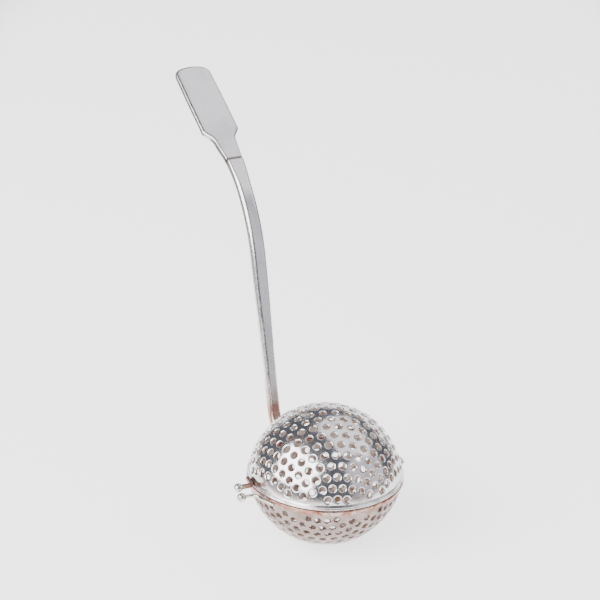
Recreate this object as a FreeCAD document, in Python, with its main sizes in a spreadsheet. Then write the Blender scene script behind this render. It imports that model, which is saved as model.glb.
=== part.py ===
import FreeCAD, Part

import math
import os

import Sketcher
from FreeCAD import Placement, Rotation, Vector

# Hinged tea ball on a long fiddle-pattern handle.
# The origin is the centre of the ball, on the plane where its two halves meet.
# +Z is up, +X points at the hinge, -X at the clasp, and the handle stands out along +Y.
# All lengths are in millimetres and all angles in degrees.

doc = FreeCAD.newDocument("tea_infuser")

UPPER = 1
LOWER = -1

# ---------------------------------------------------------------- driving dimensions

DIMENSIONS = {
    # the two pierced domes: each is a little less than half of a sphere
    "dome_radius": 25.15,
    "dome_drop": 2.6,
    "sheet_metal": 0.8,
    # holes pressed through the domes, set out as a triangular grid from the pole
    "hole_pitch": 4.1,
    "hole_radius": 1.1,
    "pierced_arc": 33.8,
    "upper_grid_turn": 41.5,
    "upper_grid_x": 1.0,
    "upper_grid_y": 2.1,
    "lower_grid_turn": 30.0,
    "lower_grid_x": 0.45,
    "lower_grid_y": -1.0,
    # the plain rim bands soldered round the mouths
    "rim_radius": 25.35,
    "rim_bore": 24.1,
    "rim_height": 1.7,
    "rim_rabbet": 0.75,
    "rim_round": 0.3,
    "seam_gap": 0.3,
    # the hinge
    "pin_radius": 0.42,
    "pin_proud": 0.25,
    "pin_clearance": 0.05,
    "knuckle_radius": 0.9,
    "knuckle_gap": 0.15,
    "hinge_length": 6.4,
    "middle_knuckle": 2.2,
    "hinge_standoff": 0.15,
    # the snap clasp: two balls on arms
    "clasp_ball_radius": 1.45,
    "clasp_reach": 5.5,
    "clasp_arm": 1.1,
    "clasp_rise": 1.1,
    "strip_y": 0.15,
    "strip_bend": 1.2,
    "strip_root_angle": 11.0,
    "wire_y": -2.35,
    "wire_bend": 2.8,
    "wire_root_angle": 25.0,
    # the handle, from its foot on the lower dome to the end of its plate
    "solder_depth": 0.3,
    "foot_height": 4.0,
    "foot_clear": 4.2,
    "foot_run": 5.2,
    "foot_slope": 10.0,
    "foot_bend": 12.0,
    "stem_slope": 73.0,
    "stem_run": 50.0,
    "stem_width": 4.4,
    "stem_depth": 3.4,
    "neck_bend": 52.0,
    "neck_width": 5.9,
    "groove_slope": 34.0,
    "groove_depth": 0.35,
    "plate_slope": 28.5,
    "plate_run": 36.8,
    "plate_depth": 1.9,
    "plate_width": 13.2,
    "plate_corner": 3.2,
    "plate_end_slope": 19.0,
    "shoulder_at": 5.6,
    "shoulder_step": 1.3,
    "edge_round": 0.45,
}

sheet = doc.addObject("Spreadsheet::Sheet", "Dimensions")
for row, (alias, value) in enumerate(DIMENSIONS.items(), start=1):
    sheet.set(f"A{row}", alias)
    sheet.set(f"B{row}", str(value))
    sheet.setAlias(f"B{row}", alias)
doc.recompute()


def size(alias):
    """The value of one driving dimension, read from the sheet."""
    return float(getattr(sheet, alias))


def bind(target, path, expression):
    """Bind one property to the sheet: each word of the expression that is an alias names its cell."""
    words = [f"Dimensions.{word}" if word in DIMENSIONS else word for word in expression.split()]
    target.setExpression(path, " ".join(words))


# ---------------------------------------------------------------- sketching helpers

def new_body(label):
    body = doc.addObject("PartDesign::Body", label)
    body.Label = label
    body.Placement = Placement()
    return body


def new_sketch(body, name, role, offset=None):
    """A sketch on one of the body's origin planes, moved by an offset in that plane's own axes."""
    sketch = body.newObject("Sketcher::SketchObject", name)
    plane = next(item for item in body.Origin.OriginFeatures if item.Role == role)
    sketch.AttachmentSupport = [(plane, "")]
    sketch.MapMode = "FlatFace"
    sketch.AttachmentOffset = offset or Placement()
    return sketch


def shifted(distance):
    """An attachment offset along the sketch plane's own normal."""
    return Placement(Vector(0, 0, distance), Rotation())


def flat(x, y):
    return Vector(x, y, 0)


def outline(points, bulges=None):
    """Closed outline through the points; a bulge is the middle point of an arc after its point."""
    bulges = bulges or {}
    curves = []
    for index, start in enumerate(points):
        end = points[(index + 1) % len(points)]
        if index in bulges:
            curves.append(Part.Arc(start, bulges[index], end))
        else:
            curves.append(Part.LineSegment(start, end))
    return curves


def add_circle(sketch, centre, radius_expression, radius):
    """A full circle whose radius follows the sheet."""
    index = sketch.addGeometry(Part.Circle(centre, Vector(0, 0, 1), radius), False)
    constraint = sketch.addConstraint(Sketcher.Constraint("Radius", index, radius))
    bind(sketch, f"Constraints[{constraint}]", radius_expression)


def pad_both_ways(body, name, sketch, length_expression):
    pad = body.newObject("PartDesign::Pad", name)
    pad.Profile = sketch
    pad.SideType = "Symmetric"
    bind(pad, "Length", length_expression)
    body.Tip = pad
    doc.recompute()
    return pad


def pocket_both_ways(body, name, sketch, length_expression=None):
    """Cut a sketch's outline out of the body, equally to both sides of the sketch."""
    before = body.Shape.Volume
    pocket = body.newObject("PartDesign::Pocket", name)
    pocket.Profile = sketch
    pocket.SideType = "Symmetric"
    if length_expression is None:
        pocket.Type = "ThroughAll"
    else:
        bind(pocket, "Length", length_expression)
    body.Tip = pocket
    doc.recompute()
    if body.Shape.Volume >= before - 1e-6:
        raise RuntimeError(f"{body.Label}: {name} cut nothing")
    return pocket


def turn_about_z(body, name, sketch):
    revolution = body.newObject("PartDesign::Revolution", name)
    revolution.Profile = sketch
    revolution.ReferenceAxis = (sketch, ["V_Axis"])
    revolution.Angle = 360
    body.Tip = revolution
    doc.recompute()
    return revolution


# ---------------------------------------------------------------- the pierced domes

def dome_reach(height, radius):
    """How far a dome surface of this radius stands from the Z axis at a height from the seam."""
    return math.sqrt(radius ** 2 - (height + size("dome_drop")) ** 2)


def make_dome_blank(label, side):
    """The dome as it comes from the press, before piercing: a spherical cap of even thickness."""
    outer = size("dome_radius")
    inner = outer - size("sheet_metal")
    drop = size("dome_drop")
    edge = size("seam_gap") / 2 + size("rim_rabbet")
    halfway = math.radians(45)

    def at(radius, height):
        return flat(radius, side * height)

    points = [
        at(dome_reach(edge, outer), edge),
        at(0, outer - drop),
        at(0, inner - drop),
        at(dome_reach(edge, inner), edge),
    ]
    bulges = {
        0: at(outer * math.cos(halfway), outer * math.sin(halfway) - drop),
        2: at(inner * math.cos(halfway), inner * math.sin(halfway) - drop),
    }
    body = new_body(label)
    section = new_sketch(body, label + "_section", "XZ_Plane")
    section.addGeometry(outline(points, bulges), False)
    turn_about_z(body, label + "_pressing", section)
    return body


def hole_directions(turn, shift_x, shift_y, side):
    """Outward directions of the holes: a triangular grid wrapped on the dome along its meridians."""
    pitch = size("hole_pitch")
    reach = size("pierced_arc")
    count = math.ceil(2 * reach / pitch)
    directions = []
    for column in range(-count, count + 1):
        for row in range(-count, count + 1):
            across = pitch * (column + row / 2)
            along = pitch * row * math.sqrt(3) / 2
            angle = math.radians(turn)
            x = shift_x + across * math.cos(angle) - along * math.sin(angle)
            y = shift_y + across * math.sin(angle) + along * math.cos(angle)
            distance = math.hypot(x, y)
            if distance > reach:
                continue
            tilt = distance / size("dome_radius")
            bearing = math.atan2(y, x)
            sideways = math.sin(tilt)
            directions.append(Vector(sideways * math.cos(bearing), sideways * math.sin(bearing),
                                     side * math.cos(tilt)))
    return directions


def make_dome(label, side, grid, keep_clear_of=None):
    """A dome with its holes: the blank, less one round pin for each hole of the grid."""
    blank = make_dome_blank(label + "_blank", side)
    centre = Vector(0, 0, -side * size("dome_drop"))
    start = size("dome_radius") - 2 * size("sheet_metal")
    length = 3 * size("sheet_metal")
    pins = []
    for direction in hole_directions(size(grid + "_turn"), size(grid + "_x"), size(grid + "_y"), side):
        spot = centre + direction * size("dome_radius")
        if keep_clear_of and spot.distanceToPoint(keep_clear_of) < size("foot_clear"):
            continue
        pins.append(Part.makeCylinder(size("hole_radius"), length, centre + direction * start, direction))
    tool = doc.addObject("Part::Feature", label + "_piercing_pins")
    tool.Shape = Part.makeCompound(pins)
    tool.Placement = Placement()
    dome = doc.addObject("Part::Cut", label)
    dome.Base = blank
    dome.Tool = tool
    dome.Label = label
    doc.recompute()
    return dome


# ---------------------------------------------------------------- the rim bands

def make_rim_band(label, side):
    """A plain ring: a flat face at the seam, a rabbet that the dome's edge sits in, and a skirt."""
    near = size("seam_gap") / 2
    step = near + size("rim_rabbet")
    far = near + size("rim_height")
    middle = (step + far) / 2
    rim = size("rim_radius")
    bore = size("rim_bore")
    edge = size("rim_round")
    dome = size("dome_radius")
    corner = edge * (1 - math.sqrt(0.5))

    def at(radius, height):
        return flat(radius, side * height)

    points = [
        at(bore, near),
        at(rim - edge, near),
        at(rim, near + edge),
        at(rim, far - edge),
        at(rim - edge, far),
        at(dome_reach(far, dome), far),
        at(dome_reach(step, dome), step),
        at(bore, step),
    ]
    bulges = {
        1: at(rim - corner, near + corner),
        3: at(rim - corner, far - corner),
        5: at(dome_reach(middle, dome), middle),
    }
    body = new_body(label)
    section = new_sketch(body, label + "_section", "XZ_Plane")
    section.addGeometry(outline(points, bulges), False)
    turn_about_z(body, label + "_ring", section)
    return body


# ---------------------------------------------------------------- the hinge

def hinge_axis_x():
    return size("rim_radius") + size("hinge_standoff") + size("knuckle_radius")


def leaf_sketch(body, name, side):
    """Side view of the gusset between the rim band and the barrel."""
    near = side * size("seam_gap") / 2
    far = side * (size("seam_gap") / 2 + size("rim_height"))
    inside = size("rim_bore")
    shoulder = size("rim_radius") + size("hinge_standoff")
    sketch = new_sketch(body, name, "XZ_Plane")
    points = [
        flat(inside, near),
        flat(hinge_axis_x(), near),
        flat(hinge_axis_x(), side * size("knuckle_radius")),
        flat(shoulder, far),
        flat(inside, far),
    ]
    sketch.addGeometry(outline(points), False)
    return sketch


def barrel_sketch(body, name, radius_expression, radius):
    """A circle about the hinge axis, seen along the axis."""
    sketch = new_sketch(body, name, "XZ_Plane")
    add_circle(sketch, flat(hinge_axis_x(), 0), radius_expression, radius)
    return sketch


def fit_leaf_to_rim(body):
    """Hollow the inner side of a leaf to the rim band's outside."""
    sketch = new_sketch(body, body.Label + "_rim_fit", "XY_Plane")
    add_circle(sketch, flat(0, 0), "rim_radius", size("rim_radius"))
    pocket_both_ways(body, body.Label + "_seat", sketch)


def make_lower_leaf():
    """Two outer knuckles on one gusset, tight on the pin."""
    body = new_body("lower_hinge_leaf")
    knuckle = size("knuckle_radius")
    swing = knuckle + size("knuckle_gap")
    pad_both_ways(body, "lower_gusset", leaf_sketch(body, "lower_gusset_side", LOWER), "hinge_length")
    pad_both_ways(body, "lower_barrel", barrel_sketch(body, "lower_barrel_end", "knuckle_radius", knuckle),
                  "hinge_length")
    slot = barrel_sketch(body, "middle_slot_end", "knuckle_radius + knuckle_gap", swing)
    pocket_both_ways(body, "middle_slot", slot, "middle_knuckle + 2 * knuckle_gap")
    fit_leaf_to_rim(body)
    bore = barrel_sketch(body, "lower_bore_end", "pin_radius", size("pin_radius"))
    pocket_both_ways(body, "lower_bore", bore)
    return body


def make_upper_leaf():
    """One middle knuckle on a gusset, turning freely on the pin."""
    body = new_body("upper_hinge_leaf")
    knuckle = size("knuckle_radius")
    swing = knuckle + size("knuckle_gap")
    loose = size("pin_radius") + size("pin_clearance")
    pad_both_ways(body, "upper_gusset", leaf_sketch(body, "upper_gusset_side", UPPER), "hinge_length")
    slot = barrel_sketch(body, "outer_slots_end", "knuckle_radius + knuckle_gap", swing)
    pocket_both_ways(body, "outer_slots", slot)
    pad_both_ways(body, "upper_knuckle_web", leaf_sketch(body, "upper_web_side", UPPER), "middle_knuckle")
    pad_both_ways(body, "upper_knuckle", barrel_sketch(body, "upper_knuckle_end", "knuckle_radius", knuckle),
                  "middle_knuckle")
    fit_leaf_to_rim(body)
    bore = barrel_sketch(body, "upper_bore_end", "pin_radius + pin_clearance", loose)
    pocket_both_ways(body, "upper_bore", bore)
    return body


def make_hinge_pin():
    body = new_body("hinge_pin")
    section = barrel_sketch(body, "pin_end", "pin_radius", size("pin_radius"))
    pin = pad_both_ways(body, "pin_length", section, "hinge_length + 2 * pin_proud")
    rims = [f"Edge{index}" for index, edge in enumerate(pin.Shape.Edges, start=1) if edge.isClosed()]
    rounding = body.newObject("PartDesign::Fillet", "pin_ends")
    rounding.Base = (pin, rims)
    rounding.Radius = size("pin_proud") * 0.8
    body.Tip = rounding
    doc.recompute()
    return body


# ---------------------------------------------------------------- the clasp

def clasp_height(side):
    return side * size("clasp_rise")


def clasp_path(body, label, side, arm):
    """Centre line of an arm: round the rim, a small bend, then straight out to its ball."""
    track = size("rim_radius") + size("clasp_arm") / 2
    lane = size(arm + "_y")
    bend = size(arm + "_bend")
    root = math.radians(size(arm + "_root_angle"))
    bend_y = lane + side * bend
    bend_x = -math.sqrt((track + bend) ** 2 - bend_y ** 2)
    share = track / (track + bend)
    leaving = flat(bend_x * share, bend_y * share)
    start = flat(-track * math.cos(root), side * track * math.sin(root))
    between = (leaving + start) * 0.5
    on_rim = between * (track / between.Length)
    bend_end = flat(bend_x, lane)
    towards = (leaving + bend_end) * 0.5 - flat(bend_x, bend_y)
    on_bend = flat(bend_x, bend_y) + towards * (bend / towards.Length)
    ball_end = flat(-size("rim_radius") - size("clasp_reach"), lane)
    path = new_sketch(body, label + "_path", "XY_Plane", shifted(clasp_height(side)))
    path.addGeometry(Part.LineSegment(ball_end, bend_end), False)
    path.addGeometry(Part.Arc(bend_end, on_bend, leaving), False)
    path.addGeometry(Part.Arc(leaving, on_rim, start), False)
    return path


def sweep_arm(body, label, section, path):
    pipe = body.newObject("PartDesign::AdditivePipe", label + "_sweep")
    pipe.Profile = section
    pipe.Spine = path
    body.Tip = pipe
    doc.recompute()


def arm_section(body, label):
    """A sketch square to the straight part of an arm, at its ball end."""
    ball_end = shifted(-size("rim_radius") - size("clasp_reach"))
    return new_sketch(body, label + "_section", "YZ_Plane", ball_end)


def make_upper_clasp_arm():
    """A flat strip, bent edgewise to stand off the rim."""
    body = new_body("upper_clasp_arm")
    lane = size("strip_y")
    half = size("clasp_arm") / 2
    height = clasp_height(UPPER)
    tall = half * 1.3
    section = arm_section(body, "upper_clasp_arm")
    corners = [
        flat(lane - half, height - tall),
        flat(lane + half, height - tall),
        flat(lane + half, height + tall),
        flat(lane - half, height + tall),
    ]
    section.addGeometry(outline(corners), False)
    sweep_arm(body, "upper_clasp_arm", section, clasp_path(body, "upper_clasp_arm", UPPER, "strip"))
    return body


def make_lower_clasp_arm():
    """A round wire, bent like the strip above it but to the other side."""
    body = new_body("lower_clasp_arm")
    section = arm_section(body, "lower_clasp_arm")
    add_circle(section, flat(size("wire_y"), clasp_height(LOWER)), "clasp_arm / 2", size("clasp_arm") / 2)
    sweep_arm(body, "lower_clasp_arm", section, clasp_path(body, "lower_clasp_arm", LOWER, "wire"))
    return body


def make_clasp_ball(label, side, lane_alias):
    ball = doc.addObject("Part::Sphere", label)
    ball.Label = label
    bind(ball, "Radius", "clasp_ball_radius")
    bind(ball, "Placement.Base.x", "0 - rim_radius - clasp_reach")
    bind(ball, "Placement.Base.y", lane_alias)
    bind(ball, "Placement.Base.z", f"{side} * clasp_rise")
    doc.recompute()
    return ball


# ---------------------------------------------------------------- the handle

def heading(slope):
    """Unit vector in the handle's side view (Y, Z) at a slope."""
    return flat(math.cos(math.radians(slope)), math.sin(math.radians(slope)))


def front_normal(slope):
    return flat(-math.sin(math.radians(slope)), math.cos(math.radians(slope)))


def foot_point():
    """Where the handle's centre line meets the outside of the lower dome, in the side view."""
    height = size("foot_height")
    return flat(dome_reach(height, size("dome_radius")), -height)


def handle_stations():
    """Side-view points where the centre line's straight runs and bends meet."""
    foot = foot_point()
    foot_end = foot + heading(size("foot_slope")) * size("foot_run")
    low_centre = foot_end + front_normal(size("foot_slope")) * size("foot_bend")
    stem_start = low_centre - front_normal(size("stem_slope")) * size("foot_bend")
    stem_end = stem_start + heading(size("stem_slope")) * size("stem_run")
    high_centre = stem_end - front_normal(size("stem_slope")) * size("neck_bend")
    plate_start = high_centre + front_normal(size("plate_slope")) * size("neck_bend")
    plate_end = plate_start + heading(size("plate_slope")) * size("plate_run")
    return {
        "foot": foot,
        "foot_end": foot_end,
        "low_centre": low_centre,
        "stem_start": stem_start,
        "stem_end": stem_end,
        "high_centre": high_centre,
        "plate_start": plate_start,
        "plate_end": plate_end,
    }


def meet_dome(point, direction):
    """Where a side-view line enters the solder depth of the lower dome."""
    centre = flat(0, size("dome_drop"))
    radius = size("dome_radius") - size("solder_depth")
    offset = point - centre
    along = offset.dot(direction)
    reach = math.sqrt(along ** 2 - offset.dot(offset) + radius ** 2)
    return point + direction * (reach - along)


def groove_back():
    """How far below the plate's straight run the cross groove lies."""
    return size("neck_bend") * math.sin(math.radians(size("groove_slope") - size("plate_slope")))


def handle_side(body):
    """Side view of the whole handle: even depth in the stem, thinner in the plate."""
    mark = handle_stations()
    stem = size("stem_depth") / 2
    plate = size("plate_depth") / 2
    foot_way, foot_up = heading(size("foot_slope")), front_normal(size("foot_slope"))
    stem_up = front_normal(size("stem_slope"))
    plate_way, plate_up = heading(size("plate_slope")), front_normal(size("plate_slope"))
    low_up = front_normal((size("foot_slope") + size("stem_slope")) / 2)
    high_up = front_normal((size("stem_slope") + size("plate_slope")) / 2)
    groove_up = front_normal(size("groove_slope"))
    front_bend_up = front_normal((size("stem_slope") + size("groove_slope")) / 2)
    front_bend = size("neck_bend") + stem
    groove = size("groove_depth")
    groove_at = mark["plate_start"] - plate_way * groove_back()
    past_end = mark["plate_end"] + plate_way * size("plate_corner")
    thinned = size("plate_run") / 3
    foot_front = meet_dome(mark["foot"] + foot_up * stem, foot_way)
    foot_back = meet_dome(mark["foot"] - foot_up * stem, foot_way)
    dome_centre = flat(0, size("dome_drop"))
    on_dome = (foot_front + foot_back) * 0.5 - dome_centre
    points = [
        foot_front,
        mark["foot_end"] + foot_up * stem,
        mark["stem_start"] + stem_up * stem,
        mark["stem_end"] + stem_up * stem,
        mark["high_centre"] + groove_up * front_bend,
        groove_at + plate_way * groove + plate_up * (plate - groove),
        groove_at + plate_way * 3 * groove + plate_up * plate,
        past_end + plate_up * plate,
        past_end - plate_up * plate,
        mark["plate_start"] + plate_way * thinned - plate_up * plate,
        mark["plate_start"] - plate_up * stem,
        mark["stem_end"] - stem_up * stem,
        mark["stem_start"] - stem_up * stem,
        mark["foot_end"] - foot_up * stem,
        foot_back,
    ]
    bulges = {
        1: mark["low_centre"] - low_up * (size("foot_bend") - stem),
        3: mark["high_centre"] + front_bend_up * front_bend,
        10: mark["high_centre"] + high_up * (size("neck_bend") - stem),
        12: mark["low_centre"] - low_up * (size("foot_bend") + stem),
        14: dome_centre + on_dome * ((size("dome_radius") - size("solder_depth")) / on_dome.Length),
    }
    sketch = new_sketch(body, "handle_side", "YZ_Plane")
    sketch.addGeometry(outline(points, bulges), False)
    return sketch


def mirrored(points):
    return [flat(-point.x, point.y) for point in reversed(points)]


def handle_plan(body):
    """Plan of the fiddle pattern, drawn in the plane of the plate: what lies round it is cut away."""
    mark = handle_stations()
    stem = size("stem_width") / 2
    neck = size("neck_width") / 2
    widest = size("plate_width") / 2
    start = size("shoulder_at")
    step = size("shoulder_step")
    corner = size("plate_corner")
    end = size("plate_run")
    groove = -groove_back()
    far_below = -3 * end
    tip = widest * 0.97
    lean = math.radians(size("plate_end_slope"))
    half_turn = math.pi / 4 - lean / 2
    corner_x = tip - corner
    corner_y = end - corner
    end_half = corner_x + corner * math.sin(lean)
    end_side = corner_y + corner * math.cos(lean)
    end_bow = end_half * math.tan(lean / 2)
    right = [
        flat(stem, far_below),
        flat(stem, groove - 17),
        flat(neck, groove),
        flat(neck + 0.8, start - 3.1),
        flat(widest - step, start),
        flat(widest * 0.99, start + 2 * step),
        flat(tip, corner_y),
        flat(end_half, end_side),
    ]
    right_bulges = {
        1: flat(stem + (neck - stem) * 0.38, groove - 8),
        2: flat(neck + 0.27, groove / 2 + 1),
        3: flat(neck + 1.2, start - 1.3),
        4: flat(widest * 0.99 - step * 0.25, start + step * 0.6),
        5: flat(widest, (start + end) / 2),
        6: flat(corner_x + corner * math.cos(half_turn), corner_y + corner * math.sin(half_turn)),
    }
    points = right + mirrored(right)
    last = len(points) - 2
    bulges = dict(right_bulges)
    for index, middle in right_bulges.items():
        bulges[last - index] = flat(-middle.x, middle.y)
    bulges[len(right) - 1] = flat(0, end_side + end_bow)
    tilt = Rotation(Vector(1, 0, 0), size("plate_slope"))
    base = Vector(0, mark["plate_start"].x, mark["plate_start"].y)
    sketch = new_sketch(body, "handle_plan", "XY_Plane", Placement(base, tilt))
    margin = size("plate_width")
    frame = [
        flat(-margin, far_below - margin),
        flat(margin, far_below - margin),
        flat(margin, end + margin),
        flat(-margin, end + margin),
    ]
    sketch.addGeometry(outline(frame), False)
    sketch.addGeometry(outline(points, bulges), False)
    return sketch


def plate_edges(shape):
    """Names of the edges round the front and the back of the plate, beyond its shoulders."""
    shoulder_end = handle_stations()["plate_start"] + heading(size("plate_slope")) * size("shoulder_at")
    through = Vector(0, front_normal(size("plate_slope")).x, front_normal(size("plate_slope")).y)
    names = []
    for index, edge in enumerate(shape.Edges, start=1):
        start = edge.Vertexes[0].Point
        end = edge.Vertexes[-1].Point
        chord = end - start
        if min(start.y, end.y) < shoulder_end.x + 1:
            continue
        if abs(chord.x) > chord.Length * 0.999 or abs(chord.dot(through)) > chord.Length * 0.999:
            continue
        names.append(f"Edge{index}")
    return names


def make_handle():
    """One forging: a curved stem that broadens through a neck into a flat fiddle-shaped plate."""
    body = new_body("handle")
    pad_both_ways(body, "handle_blank", handle_side(body), "plate_width + 2")
    trim = pocket_both_ways(body, "handle_trim", handle_plan(body))
    rounding = body.newObject("PartDesign::Fillet", "plate_edges")
    rounding.Base = (trim, plate_edges(trim.Shape))
    bind(rounding, "Radius", "edge_round")
    body.Tip = rounding
    doc.recompute()
    return body


# ---------------------------------------------------------------- build and write the pieces

foot = foot_point()
pieces = [
    make_dome("lower_bowl", LOWER, "lower_grid", keep_clear_of=Vector(0, foot.x, foot.y)),
    make_rim_band("lower_rim_band", LOWER),
    make_lower_leaf(),
    make_hinge_pin(),
    make_lower_clasp_arm(),
    make_clasp_ball("lower_clasp_ball", LOWER, "wire_y"),
    make_handle(),
    make_dome("upper_dome", UPPER, "upper_grid"),
    make_rim_band("upper_rim_band", UPPER),
    make_upper_leaf(),
    make_upper_clasp_arm(),
    make_clasp_ball("upper_clasp_ball", UPPER, "strip_y"),
]
doc.recompute()

for item in doc.Objects:
    if "Invalid" in item.State or "Error" in item.State:
        raise RuntimeError(f"{item.Label} failed: {item.State}")
for piece in pieces:
    if piece.Shape.isNull() or not piece.Shape.isValid():
        raise RuntimeError(f"{piece.Label} has no valid shape")

os.makedirs("parts", exist_ok=True)
for piece in pieces:
    piece.Shape.exportStep(os.path.join("parts", piece.Label + ".step"))
    box = piece.Shape.BoundBox
    print(f"{piece.Label}: {len(piece.Shape.Solids)} solid, {piece.Shape.Volume:.1f} mm3, "
          f"z {box.ZMin:.2f} to {box.ZMax:.2f}")
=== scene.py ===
import math

import bmesh
import bpy
import numpy as np
from mathutils import Matrix, Vector


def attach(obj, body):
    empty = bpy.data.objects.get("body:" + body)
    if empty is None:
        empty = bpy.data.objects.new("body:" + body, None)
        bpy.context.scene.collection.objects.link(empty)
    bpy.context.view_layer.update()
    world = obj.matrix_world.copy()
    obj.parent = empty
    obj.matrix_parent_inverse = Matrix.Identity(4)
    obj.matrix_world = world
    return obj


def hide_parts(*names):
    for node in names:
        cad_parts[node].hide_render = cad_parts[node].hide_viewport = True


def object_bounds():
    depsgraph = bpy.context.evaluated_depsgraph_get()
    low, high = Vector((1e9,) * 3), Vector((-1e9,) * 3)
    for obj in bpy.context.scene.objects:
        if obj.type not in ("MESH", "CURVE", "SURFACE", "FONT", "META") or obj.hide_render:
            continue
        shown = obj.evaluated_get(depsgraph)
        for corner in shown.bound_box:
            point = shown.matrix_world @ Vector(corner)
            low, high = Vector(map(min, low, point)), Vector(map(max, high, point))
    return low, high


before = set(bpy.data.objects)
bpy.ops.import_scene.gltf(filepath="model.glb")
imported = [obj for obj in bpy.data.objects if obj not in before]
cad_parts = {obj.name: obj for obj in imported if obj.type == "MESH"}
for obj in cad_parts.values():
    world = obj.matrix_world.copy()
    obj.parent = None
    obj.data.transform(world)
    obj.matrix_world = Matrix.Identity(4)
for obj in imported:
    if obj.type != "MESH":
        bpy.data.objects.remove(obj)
cad_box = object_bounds()

# A hinged tea ball on a long handle. The origin is the centre of the ball, on the plane
# where its halves meet: +X is the hinge, -X the clasp, +Y the handle's side and +Z up.
# Sizes are in millimetres until a mesh is written, in metres.

# ------------------------------------------------------------------ pierced domes
# The two halves of the ball: silver plated brass sheet, pressed to a little less than half
# a sphere, then pierced from outside, so the metal rolls down into each hole. Inside, the
# plate has gone brown with tea, and outside it is worn thin where it is handled.

MM = 0.001
UPPER = 1
LOWER = -1
DOME_RADIUS = 25.15
# each dome's centre lies this far past the seam, so a half is less than half a sphere
DOME_DROP = 2.6
SHEET = 0.8
# height above the seam of the sheet's edge, which the rim band hides
RIM_EDGE = 0.9
HOLE_PITCH = 4.1
HOLE_RADIUS = 1.1
# the holes' middles lie within this arc of the pole
PIERCED_ARC = 33.8
# a multiple of twelve, so that neighbouring hexagonal cells share their corners
HOLE_SIDES = 24
# out from a hole's wall to the plain dome and to the start of the roll; depth where the wall begins
HOLE_LIP = 0.425
HOLE_ROLL = 0.34
ROLL_DEPTH = 0.26
# each grid of holes: its turn in degrees, and the place of one hole from the pole
UPPER_GRID = {"turn": 41.5, "shift_x": 1.0, "shift_y": 2.1}
LOWER_GRID = {"turn": 30.0, "shift_x": 0.45, "shift_y": -1.0}
# the height at which the handle's foot meets the bowl, and the metal left whole round it
FOOT_HEIGHT = -4.0
FOOT_CLEAR = 4.2
# unevenness of the sheet: its depth, its wave length and the number of its waves
LUMP = 0.03
LUMP_LENGTH = 12.0
LUMP_WAVES = 6
# points nearer than this, in metres, are one point
MERGE = 4e-6


def linear(code):
    """An sRGB hex colour as linear RGBA: each channel goes through the sRGB curve."""
    channels = [int(code[i:i + 2], 16) / 255 for i in (1, 3, 5)]
    return [c / 12.92 if c <= 0.04045 else ((c + 0.055) / 1.055) ** 2.4 for c in channels] + [1.0]


def add_node(tree, kind, settings=None, links=None):
    """One node: its attributes or socket values from settings, and its inputs from links."""
    node = tree.nodes.new(kind)
    for key, value in (settings or {}).items():
        if isinstance(key, str) and hasattr(node, key):
            setattr(node, key, value)
        else:
            node.inputs[key].default_value = value
    for key, socket in (links or {}).items():
        tree.links.new(socket, node.inputs[key])
    return node


def new_piece(name, points, faces, body, nodes, materials):
    """A piece from points in millimetres: doubles are merged, two open edges such as a dome's mouth
    are joined, faces look outwards and shade smoothly, and the piece rides on its body."""
    mesh = bpy.data.meshes.new(name)
    mesh.from_pydata(np.asarray(points, float) * MM, [], [tuple(face) for face in faces])
    work = bmesh.new()
    work.from_mesh(mesh)
    bmesh.ops.remove_doubles(work, verts=work.verts, dist=MERGE)
    open_edges = [edge for edge in work.edges if edge.is_boundary]
    if open_edges:
        bmesh.ops.bridge_loops(work, edges=open_edges)
    bmesh.ops.recalc_face_normals(work, faces=work.faces)
    work.to_mesh(mesh)
    work.free()
    mesh.polygons.foreach_set("use_smooth", np.ones(len(mesh.polygons), bool))
    piece = bpy.data.objects.new(name, mesh)
    bpy.context.scene.collection.objects.link(piece)
    for material in materials:
        mesh.materials.append(material)
    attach(piece, body)
    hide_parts(*nodes)
    return piece


def on_dome(x, y):
    """Direction of a point of the flat grid: its distance from the pole is an arc of the dome."""
    tilt = np.hypot(x, y) / DOME_RADIUS
    bearing = np.arctan2(y, x)
    sideways = np.sin(tilt)
    return np.stack([sideways * np.cos(bearing), sideways * np.sin(bearing), np.cos(tilt)], -1)


def lumps(direction, seed):
    """Slight unevenness of hand-finished sheet: a sum of plane waves of one length."""
    random = np.random.default_rng(seed)
    axes = random.normal(size=(LUMP_WAVES, 3))
    axes /= np.linalg.norm(axes, axis=1, keepdims=True)
    phases = random.uniform(0, 2 * np.pi, LUMP_WAVES)
    waves = np.sin(direction @ axes.T * (2 * np.pi * DOME_RADIUS / LUMP_LENGTH) + phases)
    return LUMP * waves.sum(-1) / math.sqrt(LUMP_WAVES)


def grid_cells(turn, shift_x, shift_y, reach):
    """Centres of the hexagonal cells: a triangular grid, turned and shifted, within reach."""
    count = math.ceil(2 * reach / HOLE_PITCH)
    column, row = np.meshgrid(np.arange(-count, count + 1), np.arange(-count, count + 1))
    across = HOLE_PITCH * (column + row / 2)
    along = HOLE_PITCH * row * math.sqrt(3) / 2
    angle = math.radians(turn)
    x = (shift_x + across * math.cos(angle) - along * math.sin(angle)).ravel()
    y = (shift_y + across * math.sin(angle) + along * math.cos(angle)).ravel()
    near = np.hypot(x, y) < reach
    return x[near], y[near]


def ring_quads(rings):
    """Faces between the neighbouring rings of a stack, each ring of HOLE_SIDES points in order."""
    low = np.arange(rings - 1)[:, None] * HOLE_SIDES
    here = np.arange(HOLE_SIDES)
    beside = (here + 1) % HOLE_SIDES
    quads = np.stack([low + here, low + beside, low + HOLE_SIDES + beside, low + HOLE_SIDES + here], -1)
    return quads.reshape(-1, 4)


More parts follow.
